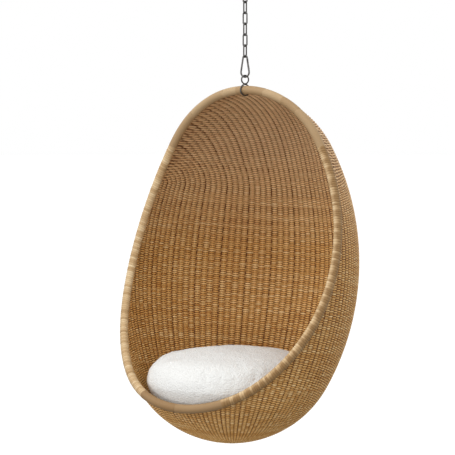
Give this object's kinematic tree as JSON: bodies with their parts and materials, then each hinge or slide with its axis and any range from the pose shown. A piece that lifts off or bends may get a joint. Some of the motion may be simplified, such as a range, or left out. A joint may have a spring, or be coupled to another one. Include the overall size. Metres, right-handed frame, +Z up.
{
  "type": "hanging egg chair",
  "caption": "Woven rattan egg chair with an open front, wrapped rim and round loose cushion, hung on a steel chain with a snap hook from a swivel ceiling plate.",
  "frame": {"origin": "centre of the ceiling plate's top face, where it meets the ceiling", "axes": "+Z up along the hanging line, the open front faces -Y, X runs across the chair"},
  "size_m": [0.8767, 0.7714, 1.6484],
  "materials": {
    "plate": "satin",
    "washer": "satin",
    "forged_steel": "satin",
    "chain_steel": "satin",
    "hook_steel": "satin",
    "pole": "matte",
    "smooth_cane": "satin",
    "wrapped_cane": "satin",
    "weave": "satin",
    "cover_fabric": "matte",
    "filling": "matte",
    "zip_tape": "matte"
  },
  "bodies": {
    "ceiling": {"ceiling_plate": "plate", "thrust_washer": "washer"},
    "swivel": {"swivel_eye": "forged_steel", "swivel_nut": "forged_steel"},
    "link_1": {"chain_link_1": "chain_steel"},
    "link_2": {"chain_link_2": "chain_steel"},
    "link_3": {"chain_link_3": "chain_steel"},
    "link_4": {"chain_link_4": "chain_steel"},
    "link_5": {"chain_link_5": "chain_steel"},
    "link_6": {"chain_link_6": "chain_steel"},
    "link_7": {"chain_link_7": "chain_steel"},
    "snap_hook": {"snap_hook_body": "hook_steel"},
    "gate": {"snap_hook_gate": "hook_steel", "gate_pin": "hook_steel", "gate_plunger": "hook_steel", "gate_spring": "hook_steel"},
    "chair": {"hanger": "forged_steel", "rim_pole_right": "pole", "rim_pole_left": "pole", "rim_binding_crown": "smooth_cane", "rim_binding_lip": "smooth_cane", "rim_binding_right": "wrapped_cane", "rim_binding_left": "wrapped_cane", "woven_shell": "weave", "base_knot": "weave"},
    "cushion": {"cushion_cover": "cover_fabric", "cushion_filling": "filling", "cushion_zip": "zip_tape"}
  },
  "joints": [
    {"name": "swivel_turn", "type": "hinge", "parent": "ceiling", "child": "swivel", "pos_m": [0, 0, -0.019], "axis": [0, 0, 1], "continuous": true},
    {"name": "link_1_swing", "type": "hinge", "parent": "swivel", "child": "link_1", "pos_m": [0, 0, -0.0525], "axis": [1, 0, 0], "range_deg": [-14, 14]},
    {"name": "link_2_swing", "type": "hinge", "parent": "link_1", "child": "link_2", "pos_m": [0, 0, -0.0885], "axis": [0, 1, 0], "range_deg": [-14, 14]},
    {"name": "link_3_swing", "type": "hinge", "parent": "link_2", "child": "link_3", "pos_m": [0, 0, -0.126], "axis": [1, 0, 0], "range_deg": [-14, 14]},
    {"name": "link_4_swing", "type": "hinge", "parent": "link_3", "child": "link_4", "pos_m": [0, 0, -0.1635], "axis": [0, 1, 0], "range_deg": [-14, 14]},
    {"name": "link_5_swing", "type": "hinge", "parent": "link_4", "child": "link_5", "pos_m": [0, 0, -0.201], "axis": [1, 0, 0], "range_deg": [-14, 14]},
    {"name": "link_6_swing", "type": "hinge", "parent": "link_5", "child": "link_6", "pos_m": [0, 0, -0.2385], "axis": [0, 1, 0], "range_deg": [-14, 14]},
    {"name": "link_7_swing", "type": "hinge", "parent": "link_6", "child": "link_7", "pos_m": [0, 0, -0.276], "axis": [1, 0, 0], "range_deg": [-14, 14]},
    {"name": "snap_hook_swing", "type": "hinge", "parent": "link_7", "child": "snap_hook", "pos_m": [0, 0, -0.3135], "axis": [0, 1, 0], "range_deg": [-14, 14]},
    {"name": "gate_open", "type": "hinge", "parent": "snap_hook", "child": "gate", "pos_m": [0.01569, 0, -0.35581], "axis": [0, -1, 0], "range_deg": [0, 22], "stiffness_Nm_per_rad": 0.2, "springref_deg": -28.65},
    {"name": "chair_swing", "type": "hinge", "parent": "snap_hook", "child": "chair", "pos_m": [0, 0, -0.3817], "axis": [1, 0, 0], "range_deg": [-25, 25]},
    {"name": "cushion_lift", "type": "slide", "parent": "chair", "child": "cushion", "axis": [0, 0, 1], "range_m": [0, 0.15]}
  ]
}
